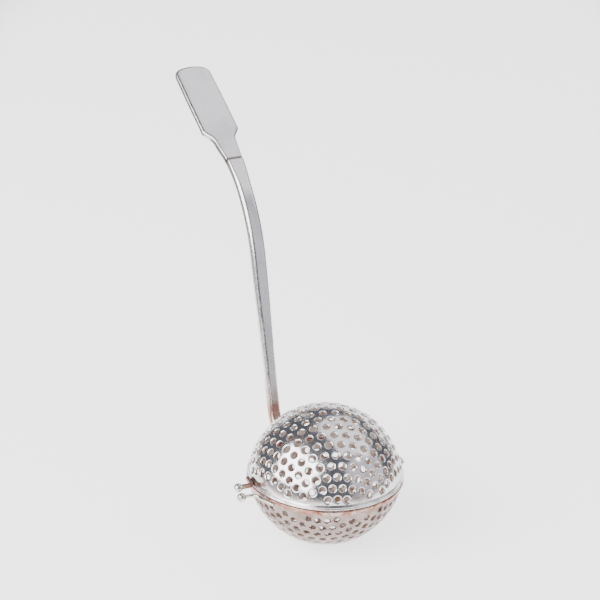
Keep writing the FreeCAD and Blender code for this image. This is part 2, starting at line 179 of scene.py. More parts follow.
def hole_cells(x, y, around, hex_way):
    """Points and faces of the pierced cells. Each is a stack of rings: its hexagon outside, the lip,
    the roll into the hole, the wall, and its hexagon inside. The rings of a hole are true circles
    round its own axis, each at the depth below the dome's surface where its own shell crosses it."""
    axis = on_dome(x, y)
    bearing = np.arctan2(y, x)
    outward = np.stack([np.cos(bearing) * axis[:, 2], np.sin(bearing) * axis[:, 2],
                        -np.hypot(axis[:, 0], axis[:, 1])], -1)
    sideways = np.stack([-np.sin(bearing), np.cos(bearing), np.zeros_like(bearing)], -1)
    turned = (around - bearing[:, None])[..., None]
    about = outward[:, None] * np.cos(turned) + sideways[:, None] * np.sin(turned)

    def ring(radius, depth):
        shell = DOME_RADIUS - depth
        return axis[:, None] * math.sqrt(shell ** 2 - radius ** 2) + about * radius

    rings = np.stack([
        hex_way * DOME_RADIUS,
        ring(HOLE_RADIUS + HOLE_LIP, 0),
        ring(HOLE_RADIUS + HOLE_ROLL, 0),
        ring(HOLE_RADIUS + HOLE_ROLL / 4, ROLL_DEPTH / 3),
        ring(HOLE_RADIUS, ROLL_DEPTH),
        ring(HOLE_RADIUS, SHEET),
        hex_way * (DOME_RADIUS - SHEET),
    ], 1)
    cell = np.arange(len(x))[:, None, None] * rings.shape[1] * HOLE_SIDES
    return rings.reshape(-1, 3), (cell + ring_quads(rings.shape[1])).reshape(-1, 4)


def plain_cells(x, y, hex_x, hex_y, edge_arc):
    """Points and faces of the cells with no hole: on each side of the sheet three rings, the
    hexagon, one halfway in and the middle. What lies past the dome's edge is drawn back to it, and
    the faces that then have no area are left out."""
    middle_x = np.broadcast_to(x[:, None], hex_x.shape)
    middle_y = np.broadcast_to(y[:, None], hex_y.shape)
    disc_x = np.stack([hex_x, (hex_x + middle_x) / 2, middle_x], 1)
    disc_y = np.stack([hex_y, (hex_y + middle_y) / 2, middle_y], 1)
    distance = np.hypot(disc_x, disc_y)
    shrink = np.minimum(1, edge_arc / distance)
    way = on_dome(disc_x * shrink, disc_y * shrink)
    points = np.concatenate([way * DOME_RADIUS, way * (DOME_RADIUS - SHEET)], 1)
    past = np.tile(distance >= edge_arc, (1, 2, 1)).reshape(len(x), -1)
    one_side = ring_quads(3)
    quads = np.concatenate([one_side, one_side + 3 * HOLE_SIDES])
    kept = ~past[:, quads].all(-1)
    cell = np.arange(len(x))[:, None, None] * 6 * HOLE_SIDES
    return points.reshape(-1, 3), (cell + quads)[kept]


def pierced_dome(side, turn, shift_x, shift_y, seed, foot=None):
    """Points and faces of a dome, laid out in hexagonal cells with a hole in the middle of each one
    that is near enough to the pole and clear of the handle's foot. The spokes of a cell meet its
    hexagon at half the pitch over the cosine of their angle from the middle of the nearest side."""
    edge_arc = DOME_RADIUS * math.acos((RIM_EDGE + DOME_DROP) / DOME_RADIUS)
    x, y = grid_cells(turn, shift_x, shift_y, edge_arc + HOLE_PITCH / math.sqrt(3))
    pierced = np.hypot(x, y) <= PIERCED_ARC
    if foot is not None:
        place = on_dome(x, y) * DOME_RADIUS * [1, 1, side] - [0, 0, side * DOME_DROP]
        pierced &= np.linalg.norm(place - foot, axis=1) >= FOOT_CLEAR
    spoke = np.arange(HOLE_SIDES) * 2 * np.pi / HOLE_SIDES
    from_middle = (spoke + np.pi / 6) % (np.pi / 3) - np.pi / 6
    reach = HOLE_PITCH / 2 / np.cos(from_middle)
    around = spoke + math.radians(turn)
    hex_x = x[:, None] + reach * np.cos(around)
    hex_y = y[:, None] + reach * np.sin(around)
    shrink = np.minimum(1, edge_arc / np.hypot(hex_x, hex_y))
    hex_way = on_dome(hex_x * shrink, hex_y * shrink)

    holed, hole_faces = hole_cells(x[pierced], y[pierced], around, hex_way[pierced])
    whole, whole_faces = plain_cells(x[~pierced], y[~pierced], hex_x[~pierced], hex_y[~pierced], edge_arc)
    points = np.concatenate([holed, whole])
    faces = np.concatenate([hole_faces, whole_faces + len(holed)])
    way = points / np.linalg.norm(points, axis=1, keepdims=True)
    points = points + way * lumps(way, seed)[:, None]
    return points * [1, 1, side] - [0, 0, side * DOME_DROP], faces


def silver_plate(name, bright, dull, bare, dull_size, bare_from, gloss, grain, haze=0.16):
    """Electroplated silver with age: bright metal, dull tarnish in patches, and bare base metal
    where the plate has gone. The patches are noise of a real size in millimetres and add haze, the
    bare metal is noise past a threshold, and fine crossing scratches are two stretched noises."""
    material = bpy.data.materials.new(name)
    material.use_nodes = True
    tree = material.node_tree
    tree.nodes.clear()
    place = add_node(tree, "ShaderNodeTexCoord").outputs["Object"]
    patches = add_node(tree, "ShaderNodeTexNoise", {"Scale": 1 / (dull_size * MM), "Detail": 5.0,
                       "Roughness": 0.62}, {"Vector": place})
    dulled = add_node(tree, "ShaderNodeMapRange", {"From Min": 0.42, "From Max": 0.68,
                      "interpolation_type": "SMOOTHSTEP"}, {"Value": patches.outputs["Fac"]})
    worn = add_node(tree, "ShaderNodeTexNoise", {"Scale": 1 / (dull_size * 0.45 * MM), "Detail": 7.0,
                    "Roughness": 0.7, "Distortion": 0.6}, {"Vector": place})
    bared = add_node(tree, "ShaderNodeMapRange", {"From Min": bare_from, "From Max": bare_from + 0.14},
                     {"Value": worn.outputs["Fac"]})
    colour = add_node(tree, "ShaderNodeMix", {"data_type": "RGBA", 6: linear(bright), 7: linear(dull)},
                      {"Factor": dulled.outputs["Result"]})
    colour = add_node(tree, "ShaderNodeMix", {"data_type": "RGBA", 7: linear(bare)},
                      {"Factor": bared.outputs["Result"], 6: colour.outputs[2]})
    one_way = add_node(tree, "ShaderNodeMapping", {"Scale": (1 / (grain * MM), 1 / (grain * 14 * MM),
                       1 / (grain * 5 * MM)), "Rotation": (0.3, 0.2, 0.5)}, {"Vector": place})
    other_way = add_node(tree, "ShaderNodeMapping", {"Scale": (1 / (grain * 11 * MM), 1 / (grain * MM),
                         1 / (grain * 4 * MM)), "Rotation": (0.1, 0.5, -0.4)}, {"Vector": place})
    scratch = add_node(tree, "ShaderNodeTexNoise", {"Scale": 1.0, "Detail": 2.0},
                       {"Vector": one_way.outputs["Vector"]})
    cross = add_node(tree, "ShaderNodeTexNoise", {"Scale": 1.0, "Detail": 2.0},
                     {"Vector": other_way.outputs["Vector"]})
    scratches = add_node(tree, "ShaderNodeMath", {"operation": "ADD"},
                         {0: scratch.outputs["Fac"], 1: cross.outputs["Fac"]})
    rough = add_node(tree, "ShaderNodeMapRange", {"From Min": 0.7, "From Max": 1.3, "To Min": gloss,
                     "To Max": gloss + 0.14}, {"Value": scratches.outputs["Value"]})
    rougher = add_node(tree, "ShaderNodeMath", {"operation": "MULTIPLY_ADD", 1: haze},
                       {0: dulled.outputs["Result"], 2: rough.outputs["Result"]})
    bump = add_node(tree, "ShaderNodeBump", {"Strength": 0.25, "Distance": 0.02 * MM},
                    {"Height": scratches.outputs["Value"]})
    shader = add_node(tree, "ShaderNodeBsdfPrincipled", {"Metallic": 1.0},
                      {"Base Color": colour.outputs[2], "Roughness": rougher.outputs["Value"],
                       "Normal": bump.outputs["Normal"]})
    add_node(tree, "ShaderNodeOutputMaterial", links={"Surface": shader.outputs["BSDF"]})
    return material


# Silver plate on brass, polished and then handled: bright, with greyish dulled patches and
# a few warm spots where the brass shows.
dome_outside = silver_plate("silver_plate_handled", bright="#DEDADB", dull="#BDB5B4", bare="#B8917E",
                            dull_size=7.0, bare_from=0.62, gloss=0.07, grain=0.25, haze=0.09)
# The same plate on the lower half, with more base metal showing; the half is painted darker and pinker than
# the upper one, as painted shade and a painted reflection of the warm floor.
bowl_outside = silver_plate("silver_plate_worn_and_painted_shade", bright="#9A8D88", dull="#80716A", bare="#8A5A47",
                            dull_size=6.0, bare_from=0.57, gloss=0.15, grain=0.25)
# Inside: tea has stained the plate brown, unevenly, and it is no longer polished.
dome_inside = silver_plate("silver_plate_tea_stained", bright="#DDD0C8", dull="#A27C69", bare="#6B4536",
                           dull_size=4.0, bare_from=0.57, gloss=0.32, grain=0.4)

foot = np.array([0, math.sqrt(DOME_RADIUS ** 2 - (DOME_DROP - FOOT_HEIGHT) ** 2), FOOT_HEIGHT])
for node, side, grid, body, outside, near in (
        ("upper_dome", UPPER, UPPER_GRID, "upper_half", dome_outside, None),
        ("lower_bowl", LOWER, LOWER_GRID, "lower_half", bowl_outside, foot)):
    points, faces = pierced_dome(side, seed=len(node), foot=near, **grid)
    piece = new_piece(node + "_pierced", points, faces, body, [node], [outside, dome_inside])
    # the tea stain covers the inner shell: what lies deeper than a third of the sheet
    mesh = piece.data
    centres = np.zeros(len(mesh.polygons) * 3)
    mesh.polygons.foreach_get("center", centres)
    middle = centres.reshape(-1, 3) / MM + [0, 0, side * DOME_DROP]
    deep = np.linalg.norm(middle, axis=1) < DOME_RADIUS - SHEET / 3 - LUMP
    mesh.polygons.foreach_set("material_index", deep.astype(np.int32))

# ------------------------------------------------------------------ rim bands
# A drawn wire of silver plated brass is soldered round each mouth: a round bead at the seam and a
# thin skirt that laps the dome. The plate has rubbed through to the coppery metal below.

BAND_RADIUS = 25.35
BAND_BORE = 24.1
# heights above the seam of the band's flat land and of the skirt's far edge
BAND_NEAR = 0.15
BAND_FAR = 1.85
# radius of the bead, and the neck between it and the skirt
BEAD = 0.36
NECK = 0.12
# how far the skirt stands proud of the dome, next to the bead and at its far edge
SKIRT_THICK = 0.26
SKIRT_THIN = 0.04
SKIRT_STEPS = 7
BAND_STEPS = 240
BAND_WAVER = 0.02


def ring_of(profile, steps, waver, seed):
    """A closed profile (radius, height) carried round the Z axis; its radius wavers by four slow
    sine waves round the ring, as a hand-soldered band does."""
    turn = np.linspace(0, 2 * np.pi, steps, endpoint=False)
    random = np.random.default_rng(seed)
    phases = random.uniform(0, 2 * np.pi, 4)
    counts = np.array([5, 8, 13, 21])
    wave = waver * np.sin(turn[:, None] * counts + phases).sum(1) / 2
    radius = profile[None, :, 0] + wave[:, None]
    points = np.stack([radius * np.cos(turn)[:, None], radius * np.sin(turn)[:, None],
                       np.broadcast_to(profile[:, 1], radius.shape)], -1)
    count = len(profile)
    here = np.arange(steps)[:, None] * count + np.arange(count)
    up = np.roll(here, -1, 1)
    faces = np.stack([here, np.roll(here, -1, 0), np.roll(up, -1, 0), up], -1)
    return points.reshape(-1, 3), faces.reshape(-1, 4)


def band_profile(side):
    """Flat land at the seam, the bead's half circle, a shallow neck, the skirt's lap on the dome,
    and down the bore."""
    swing = np.radians(np.linspace(-90, 70, 12))
    bead_r = BAND_RADIUS - BEAD + BEAD * np.cos(swing)
    bead_z = BAND_NEAR + BEAD + BEAD * np.sin(swing)
    skirt_z = np.linspace(bead_z[-1] + NECK, BAND_FAR, SKIRT_STEPS)
    skirt_r = np.sqrt(DOME_RADIUS ** 2 - (skirt_z + DOME_DROP) ** 2)
    skirt_r = skirt_r + np.linspace(SKIRT_THICK, SKIRT_THIN, SKIRT_STEPS)
    in_sheet_z = skirt_z[:1:-1]
    in_sheet_r = np.sqrt((DOME_RADIUS - SHEET / 2) ** 2 - (in_sheet_z + DOME_DROP) ** 2)
    chamfer = 0.1
    radius = np.concatenate([[BAND_BORE + chamfer], bead_r, skirt_r, in_sheet_r, [BAND_BORE, BAND_BORE]])
    height = np.concatenate([[BAND_NEAR], bead_z, skirt_z, in_sheet_z, [RIM_EDGE, BAND_NEAR + chamfer]])
    return np.stack([radius, side * height], 1)


# Silver plate rubbed through on a soldered joint: silver, grey and copper pink run together.
upper_band_metal = silver_plate("silver_plate_rim", bright="#E2DEDD", dull="#A79D9B", bare="#A5796A",
                                dull_size=5.0, bare_from=0.60, gloss=0.14, grain=0.2)
lower_band_metal = silver_plate("silver_plate_rubbed_to_copper", bright="#C4ADA6", dull="#A67B6B",
                                bare="#8E5340", dull_size=6.0, bare_from=0.46, gloss=0.2, grain=0.2)

for node, side, body, metal in (("upper_rim_band", UPPER, "upper_half", upper_band_metal),
                                ("lower_rim_band", LOWER, "lower_half", lower_band_metal)):
    points, faces = ring_of(band_profile(side), BAND_STEPS, BAND_WAVER, len(node) + side)
    new_piece(node + "_soldered", points, faces, body, [node], [metal])

# ------------------------------------------------------------------ hinge
# Three knuckles rolled from two small leaves, on a steel pin whose rounded ends stand just proud
# of them. The leaves are soldered to the bands, and the joint is dull where polish never reaches.

# Silver plate that has dulled and worn brown in the corners of the leaves.
hinge_metal = silver_plate("silver_plate_hinge", bright="#D2CCC9", dull="#98908C", bare="#8C6A5A",
                           dull_size=2.5, bare_from=0.58, gloss=0.24, grain=0.15)
# Drawn steel wire: grey, with brownish specks of old rust.
pin_metal = silver_plate("drawn_steel_wire", bright="#B9BABC", dull="#8C8A88", bare="#6C6058",
                         dull_size=1.5, bare_from=0.7, gloss=0.28, grain=0.1)
for node, metal in (("lower_hinge_leaf", hinge_metal), ("upper_hinge_leaf", hinge_metal),
                    ("hinge_pin", pin_metal)):
    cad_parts[node].data.materials.clear()
    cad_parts[node].data.materials.append(metal)

# ------------------------------------------------------------------ clasp
# Two small cast balls snap past each other. The upper sits on a flat strip of bare brown metal,
# the lower on a round plated wire; both are bent away from the rim and soldered along it.

BALL_RADIUS = 1.45
BALL_RINGS = 26
BALL_SIDES = 40
# from the rim to a ball's middle, and the height of the arms above and below the seam
CLASP_REACH = 5.5
CLASP_RISE = 1.1
# the arms' thickness, the strip's half height and the length over which an arm's end is rounded
ARM = 1.1
STRIP_HALF_HEIGHT = 0.682
ARM_TIP = 0.2
# each arm: the line of its straight run, the radius of its bend, and where on the rim it starts
STRIP = {"lane": 0.15, "bend": 1.2, "root": 11.0}
WIRE = {"lane": -2.35, "bend": 2.8, "root": 25.0}


def bent_line(start, heading, runs, steps):
    """A flat line made of runs, each with a length and an even turn in degrees. The heading is the
    running sum of the turns and the points are the running sum of short steps along it."""
    marks = np.concatenate([[0], np.cumsum([run[0] for run in runs])])
    turns = np.concatenate([[0], np.cumsum([run[1] for run in runs])])
    way = np.unique(np.concatenate([np.linspace(0, marks[-1], steps), marks]))
    angle = np.radians(heading + np.interp(way, marks, turns))
    middle = (angle[1:] + angle[:-1]) / 2
    moves = np.diff(way)[:, None] * np.stack([np.cos(middle), np.sin(middle)], 1)
    points = np.concatenate([[[0, 0]], np.cumsum(moves, 0)]) + start
    return way, points, angle


def clasp_line(side, lane, bend, root):
    """Centre line of an arm seen from above: round the rim from its root, through one bend the
    other way, and straight out to its ball."""
    track = BAND_RADIUS + ARM / 2
    off = lane + side * bend
    bend_x = -math.sqrt((track + bend) ** 2 - off ** 2)
    leave = math.degrees(math.asin(side * off / (track + bend)))
    start = [-track * math.cos(math.radians(root)), side * track * math.sin(math.radians(root))]
    along = root - leave
    turn_back = 90 - leave
    runs = [
        (track * math.radians(along), side * along),
        (bend * math.radians(turn_back), -side * turn_back),
        (bend_x + BAND_RADIUS + CLASP_REACH, 0),
    ]
    heading = math.degrees(math.atan2(-side * math.cos(math.radians(root)), -math.sin(math.radians(root))))
    return bent_line(np.array(start), heading, runs, 90)


def swept(way, line, angle, height, section, tip):
    """A section (across, up) carried along a flat line at one height; its first and last rings
    draw in over the tip length along a quarter circle, so that the ends are rounded."""
    end = np.minimum(way, way[-1] - way)
    share = np.sqrt(np.clip(1 - (1 - np.clip(end / tip, 0, 1)) ** 2, 0.02, 1))
    normal = np.stack([-np.sin(angle), np.cos(angle)], 1)
    flat = line[:, None] + normal[:, None] * (section[None, :, :1] * share[:, None, None])
    up = height + section[None, :, 1] * share[:, None]
    points = np.concatenate([flat, up[..., None]], -1)
    count, steps = len(section), len(way)
    here = np.arange(steps - 1)[:, None] * count + np.arange(count)
    up_one = np.roll(here, -1, 1)
    faces = np.stack([here, up_one, up_one + count, here + count], -1).reshape(-1, 4).tolist()
    ends = [list(range(count)), [(steps - 1) * count + i for i in range(count)]]
    return points.reshape(-1, 3), faces + ends


def rounded_box(half_width, half_height, corner, steps):
    """Outline of a rounded rectangle: four quarter circles joined by its sides."""
    turn = np.radians(np.linspace(0, 90, steps))
    quarters = [turn + k * np.pi / 2 for k in range(4)]
    signs = [(1, 1), (-1, 1), (-1, -1), (1, -1)]
    return np.concatenate([
        np.stack([sx * (half_width - corner) + corner * np.cos(q),
                  sy * (half_height - corner) + corner * np.sin(q)], 1)
        for q, (sx, sy) in zip(quarters, signs)])


def cast_ball(centre, radius):
    """A ball with a small collar of solder where its arm enters: a profile turned round the X
    direction, radius times sine, eased out to the arm near the entry."""
    lat = np.linspace(0, np.pi, BALL_RINGS)
    along = radius * np.cos(lat)
    across = radius * np.sin(lat)
    collar_from, collar_reach = 0.75, 0.22
    collar = np.clip((along - radius * collar_from) / (radius * (1 - collar_from)), 0, 1)
    across = np.maximum(across, collar * STRIP_HALF_HEIGHT)
    along = along + collar * collar_reach
    across[0] = across[-1] = 0
    turn = np.linspace(0, 2 * np.pi, BALL_SIDES, endpoint=False)
    points = np.stack([np.broadcast_to(along[:, None], (BALL_RINGS, BALL_SIDES)),
                       across[:, None] * np.cos(turn), across[:, None] * np.sin(turn)], -1) + centre
    here = np.arange(BALL_RINGS - 1)[:, None] * BALL_SIDES + np.arange(BALL_SIDES)
    beside = here - here % BALL_SIDES + (here + 1) % BALL_SIDES
    faces = np.stack([here, beside, beside + BALL_SIDES, here + BALL_SIDES], -1)
    return points.reshape(-1, 3), faces.reshape(-1, 4)


# Bare strip: brass gone dark brown with age and old solder, pinkish where it is rubbed.
strip_metal = silver_plate("brass_strip_browned", bright="#9C7B6C", dull="#5E463C", bare="#B08A78",
                           dull_size=2.0, bare_from=0.56, gloss=0.3, grain=0.12)
# Plated wire and balls: the brightest metal on the piece, touched every time it is opened.
ball_metal = silver_plate("silver_plate_polished", bright="#CECAC2", dull="#ABA69C", bare="#8F7F72",
                          dull_size=2.0, bare_from=0.66, gloss=0.10, grain=0.15)

strip_section = rounded_box(ARM / 2, STRIP_HALF_HEIGHT, 0.16, 5)
wire_section = rounded_box(ARM / 2, ARM / 2, ARM / 2 - 0.001, 7)
for half, side, arm, section, metal, slot in (
        ("upper", UPPER, STRIP, strip_section, strip_metal, "bare_strip"),
        ("lower", LOWER, WIRE, wire_section, ball_metal, "plated_fitting")):
    height = side * CLASP_RISE
    centre = [-BAND_RADIUS - CLASP_REACH, arm["lane"], height]
    points, faces = swept(*clasp_line(side, **arm), height, section, ARM_TIP)
    new_piece(half + "_clasp_arm_bent", points, faces, half + "_half", [half + "_clasp_arm"], [metal])
    points, faces = cast_ball(centre, BALL_RADIUS)
    new_piece(half + "_clasp_ball_cast", points, faces, half + "_half", [half + "_clasp_ball"],
              [ball_metal])

# ------------------------------------------------------------------ handle
# One forging in silver plated nickel: a stem with a flat front and a rounded back, which broadens
# through a neck into a flat fiddle-shaped plate. A cross groove marks where the plate begins.

# the side line from the bowl: slopes in degrees, straight runs, and the radii of its two bends
FOOT_SLOPE = 10.0
FOOT_RUN = 5.2
FOOT_BEND = 12.0
STEM_SLOPE = 73.0
STEM_RUN = 50.0
NECK_BEND = 52.0
PLATE_SLOPE = 28.5
PLATE_RUN = 36.8
# the section, the plate's corners, and half the angle that its bowed end takes up
STEM_HALF_WIDTH = 2.2
STEM_HALF_DEPTH = 1.7
PLATE_HALF_DEPTH = 0.95
PLATE_CORNER = 3.2
END_SLOPE = 19.0
# the groove lies this far before the plate's start
GROOVE_BACK = 4.98
GROOVE_DEPTH = 0.4
GROOVE_WIDTH = 0.35
# where along the foot the section starts, and how far its first ring goes into the bowl's wall
FOOT_START = 1.4
FOOT_IN_WALL = 0.35
# heights between which the heat's brown fades in downwards, and the raggedness of its edge
HEAT_FROM = 24.0
HEAT_FULL = 13.0
HEAT_RAGGED = 16.0
# distances from the groove's plane between which the groove's painted shade fades in
GROOVE_SHADE_FROM = 0.95
GROOVE_SHADE_FULL = 0.3


def rise(value, start, end):
    """Smooth step from 0 to 1 between start and end."""
    share = np.clip((value - start) / (end - start), 0, 1)
    return share * share * (3 - 2 * share)


def handle_half_width(v):
    """Half width at a distance v along the plate from its start: the stem's, plus a flare for the
    neck, one for the shoulder and a last quick one for the shoulder's corner, and a slight taper."""
    flare = 0.35 * rise(v, -75, -45) + 0.4 * rise(v, -16, -2) + 0.85 * rise(v, -6, 4)
    shoulder = 1.1 * rise(v, 3.0, 6.6) + 1.7 * rise(v, 5.0, 8.4)
    taper = 0.2 * rise(v, 18, 38) + 0.25 * rise(-v, 40, 110)
    return STEM_HALF_WIDTH + flare + shoulder - taper


def handle_mesh():
    """A section carried along the handle's side line. Across it, the front and the back are each a
    flat that turns down near the outline along a quarter ellipse of its own; the distance to
    the outline counts the plate's end and corners too, so the edge runs round the plate evenly."""
    foot_way = np.array([math.cos(math.radians(FOOT_SLOPE)), math.sin(math.radians(FOOT_SLOPE))])
    runs = [
        (FOOT_RUN, 0),
        (FOOT_BEND * math.radians(STEM_SLOPE - FOOT_SLOPE), STEM_SLOPE - FOOT_SLOPE),
        (STEM_RUN, 0),
        (NECK_BEND * math.radians(STEM_SLOPE - PLATE_SLOPE), PLATE_SLOPE - STEM_SLOPE),
        (PLATE_RUN, 0),
    ]
    fine_way, fine_line, fine_angle = bent_line(foot[1:], FOOT_SLOPE, runs, 4000)
    plate_start = fine_way[-1] - PLATE_RUN
    # the plate's end: a shallow bow, which a round corner joins to each side
    tip = handle_half_width(np.array(PLATE_RUN))
    lean_end = math.radians(END_SLOPE)
    corner_x, corner_v = tip - PLATE_CORNER, PLATE_RUN - PLATE_CORNER
    end_half = corner_x + PLATE_CORNER * math.sin(lean_end)
    end_side = corner_v + PLATE_CORNER * math.cos(lean_end)
    bow_radius = end_half / math.sin(lean_end)
    bow_centre = end_side - bow_radius * math.cos(lean_end)
    apex = bow_centre + bow_radius
    # sections are closer together at the groove and at the end
    body_way = np.linspace(FOOT_START, plate_start + corner_v, 330)
    end_way = plate_start + apex - (apex - corner_v) * (1 - np.sin(np.linspace(0, np.pi / 2, 34)[1:]))
    near_groove = plate_start - GROOVE_BACK + np.linspace(-1.4, 1.4, 25)
    way = np.unique(np.concatenate([body_way, near_groove, end_way]))
    line = np.stack([np.interp(way, fine_way, fine_line[:, k]) for k in (0, 1)], 1)
    past = np.maximum(way - fine_way[-1], 0)
    line = line + past[:, None] * [math.cos(math.radians(PLATE_SLOPE)), math.sin(math.radians(PLATE_SLOPE))]
    angle = np.interp(way, fine_way, fine_angle)
    v = way - plate_start
    width = handle_half_width(v)
    in_end = np.clip(v - corner_v, 0, PLATE_CORNER)
    corner_outline = corner_x + np.sqrt(PLATE_CORNER ** 2 - in_end ** 2)
    bow_outline = np.sqrt(np.maximum(bow_radius ** 2 - (v - bow_centre) ** 2, 0))
    outline = np.where(v <= corner_v, width, np.where(v <= end_side, corner_outline, bow_outline))
    lean = np.cos(np.arctan(np.gradient(width, v)))
    # distance of each point of a section to the outline
    share = np.sin(np.linspace(-1, 1, 41) * np.pi / 2)
    across = share * outline[:, None]
    side_gap = (width[:, None] - np.abs(across)) * lean[:, None]
    bow_gap = bow_radius - np.hypot(across, v[:, None] - bow_centre)
    bow_gap = np.where(v[:, None] > bow_centre, bow_gap, side_gap)
    beside, beyond = np.abs(across) - corner_x, v[:, None] - corner_v
    in_corner = (beside > 0) & (beyond > 0) & (beside > beyond * math.tan(lean_end))
    corner_gap = PLATE_CORNER - np.hypot(beside, beyond)
    gap = np.maximum(np.where(in_corner, corner_gap, np.minimum(side_gap, bow_gap)), 0)
    # how wide and how deep the front turns down, and the back: rounded on the stem, crisp on the plate
    front_wide = 1.3 - 0.55 * rise(v, -17, -GROOVE_BACK) + 0.75 * rise(v, -2, 8)
    front_deep = 1.35 - 0.75 * rise(v, -17, -GROOVE_BACK) + 0.2 * rise(v, -2, 8)
    back_round = 1.5 - 1.0 * rise(v, -14, 10)
    on_plate = rise(v, -GROOVE_BACK - 0.25, -GROOVE_BACK + 0.35)
    bow = NECK_BEND * (1 - np.cos(np.maximum(angle - math.radians(PLATE_SLOPE), 0)))
    front = STEM_HALF_DEPTH + (PLATE_HALF_DEPTH + bow - STEM_HALF_DEPTH) * on_plate
    back = STEM_HALF_DEPTH + (PLATE_HALF_DEPTH - STEM_HALF_DEPTH) * rise(v, 0, PLATE_RUN / 3)
    groove = GROOVE_DEPTH * np.exp(-((v + GROOVE_BACK) / GROOVE_WIDTH) ** 2)

    def turned_down(depth, wide, deep):
        into = np.clip(1 - gap / wide[:, None], 0, 1)
        return depth[:, None] - deep[:, None] * (1 - np.sqrt(1 - into ** 2))

    high = turned_down(front - groove, front_wide, front_deep)
    low = -turned_down(back, back_round, back_round)
    across = np.concatenate([across, across[:, ::-1]], 1)
    lift = np.concatenate([high, low[:, ::-1]], 1)
    up = np.stack([-np.sin(angle), np.cos(angle)], 1)
    side_view = line[:, None] + up[:, None] * lift[..., None]
    points = np.concatenate([across[..., None], side_view], -1)
    # the foot's first ring runs back along the foot until it is inside the bowl's wall
    dome_centre = np.array([0, 0, DOME_DROP])
    back_along = -np.array([0, *foot_way])
    offset = points[0] - dome_centre
    towards = offset @ back_along
    reach = np.sqrt(towards ** 2 - (offset ** 2).sum(1) + (DOME_RADIUS - FOOT_IN_WALL) ** 2)
    first = points[0] + back_along * (-towards - reach)[:, None]
    points = np.concatenate([first[None], points])
    count, steps = points.shape[1], points.shape[0]
    here = np.arange(steps - 1)[:, None] * count + np.arange(count)
    next_point = np.roll(here, -1, 1)
    faces = np.stack([here, next_point, next_point + count, here + count], -1).reshape(-1, 4)
    half = count // 2
    i = np.arange(half - 1)
    cap = np.stack([i, i + 1, count - 2 - i, count - 1 - i], 1)
    last = (steps - 1) * count
    groove_row = np.argmin(np.abs(v + GROOVE_BACK))
    groove_place = np.array([0, *line[groove_row]])
    groove_way = np.array([0, math.cos(angle[groove_row]), math.sin(angle[groove_row])])
    return points.reshape(-1, 3), np.concatenate([faces, cap, cap + last]), groove_place, groove_way


def handle_silver(groove_place, groove_way):
    """Plated nickel silver, machine polished along its length and softened by use: long fine lines,
    hand-rubbed soft patches, painted shade in the cross groove, dark grey where the distance to its plane
    is small, and heat-browned plate near the soldered foot, low on the stem."""
    material = silver_plate("silver_plate_handle", bright="#DDDADB", dull="#CFCBCC", bare="#B59F96",
                            dull_size=18.0, bare_from=0.74, gloss=0.17, grain=0.3, haze=0.06)
    tree = material.node_tree
    shader = next(node for node in tree.nodes if node.type == "BSDF_PRINCIPLED")
    plate_colour = shader.inputs["Base Color"].links[0].from_socket
    place = add_node(tree, "ShaderNodeTexCoord").outputs["Object"]
    height = add_node(tree, "ShaderNodeSeparateXYZ", links={"Vector": place}).outputs["Z"]
    blotch = add_node(tree, "ShaderNodeTexNoise", {"Scale": 1 / (5 * MM), "Detail": 5.0, "Roughness": 0.65},
                      {"Vector": place})
    ragged = add_node(tree, "ShaderNodeMath", {"operation": "MULTIPLY_ADD", 1: HEAT_RAGGED * MM},
                      {0: blotch.outputs["Fac"], 2: height})
    heated = add_node(tree, "ShaderNodeMapRange",
                      {"From Min": HEAT_FROM * MM, "From Max": HEAT_FULL * MM, "To Max": 0.85},
                      {"Value": ragged.outputs["Value"]})
    colour = add_node(tree, "ShaderNodeMix", {"data_type": "RGBA", 7: linear("#9A6B54")},
                      {"Factor": heated.outputs["Result"], 6: plate_colour})
    along = add_node(tree, "ShaderNodeVectorMath", {"operation": "DOT_PRODUCT", 1: groove_way},
                     {0: place})
    off_plane = add_node(tree, "ShaderNodeMath",
                         {"operation": "SUBTRACT", 1: groove_way @ groove_place * MM},
                         {0: along.outputs["Value"]})
    off_groove = add_node(tree, "ShaderNodeMath", {"operation": "ABSOLUTE"},
                          {0: off_plane.outputs["Value"]})
    # painted shade: the colour is darkened towards dark grey near the cross groove's plane
    tarnish = add_node(tree, "ShaderNodeMapRange",
                       {"From Min": GROOVE_SHADE_FROM * MM, "From Max": GROOVE_SHADE_FULL * MM, "To Max": 0.8},
                       {"Value": off_groove.outputs["Value"]})
    grooved = add_node(tree, "ShaderNodeMix", {"data_type": "RGBA", 7: linear("#5A5450")},
                       {"Factor": tarnish.outputs["Result"], 6: colour.outputs[2]})
    tree.links.new(grooved.outputs[2], shader.inputs["Base Color"])
    return material


points, faces, groove_place, groove_way = handle_mesh()
new_piece("handle_forged", points, faces, "lower_half", ["handle"],
          [handle_silver(groove_place, groove_way)])

# ------------------------------------------------------------------ floor, lights and camera
# A pale floor with a painted pool of light and painted shade round it, a large soft box at the front left,
# a wide soft wall at the right, one box overhead and a low one behind; the room at the back left stays dark,
# so that the polished metal has something to show. The camera looks down from the clasp's side, across the
# ball.

# the floor's half side in metres, and its distance below the lowest point
FLOOR_HALF = 4.0
FLOOR_GAP = 0.05
# the painted pool of light: its middle, half sizes and turn, and the shares of them where it starts to fade
# and ends
POOL_X = 113.0
POOL_Y = 223.0
POOL_WIDE = 210.0
POOL_LONG = 520.0
POOL_TURN = -27.0
POOL_FULL = 0.85
POOL_END = 1.35
# the pool's straight edge: its turn, and the distances at which it is still full and has ended
EDGE_TURN = 22.3
EDGE_FULL = 118.0
EDGE_END = 175.0
# how strongly the paper glows by emission inside the pool: painted light
PAINTED_POOL_GLOW = 1.9
floor_z = cad_box[0].z - FLOOR_GAP * MM
floor_mesh = bpy.data.meshes.new("floor")
corners = [(x * FLOOR_HALF, y * FLOOR_HALF, floor_z) for x, y in ((-1, -1), (1, -1), (1, 1), (-1, 1))]
floor_mesh.from_pydata(corners, [], [(0, 1, 2, 3)])
floor = bpy.data.objects.new("floor", floor_mesh)
bpy.context.scene.collection.objects.link(floor)
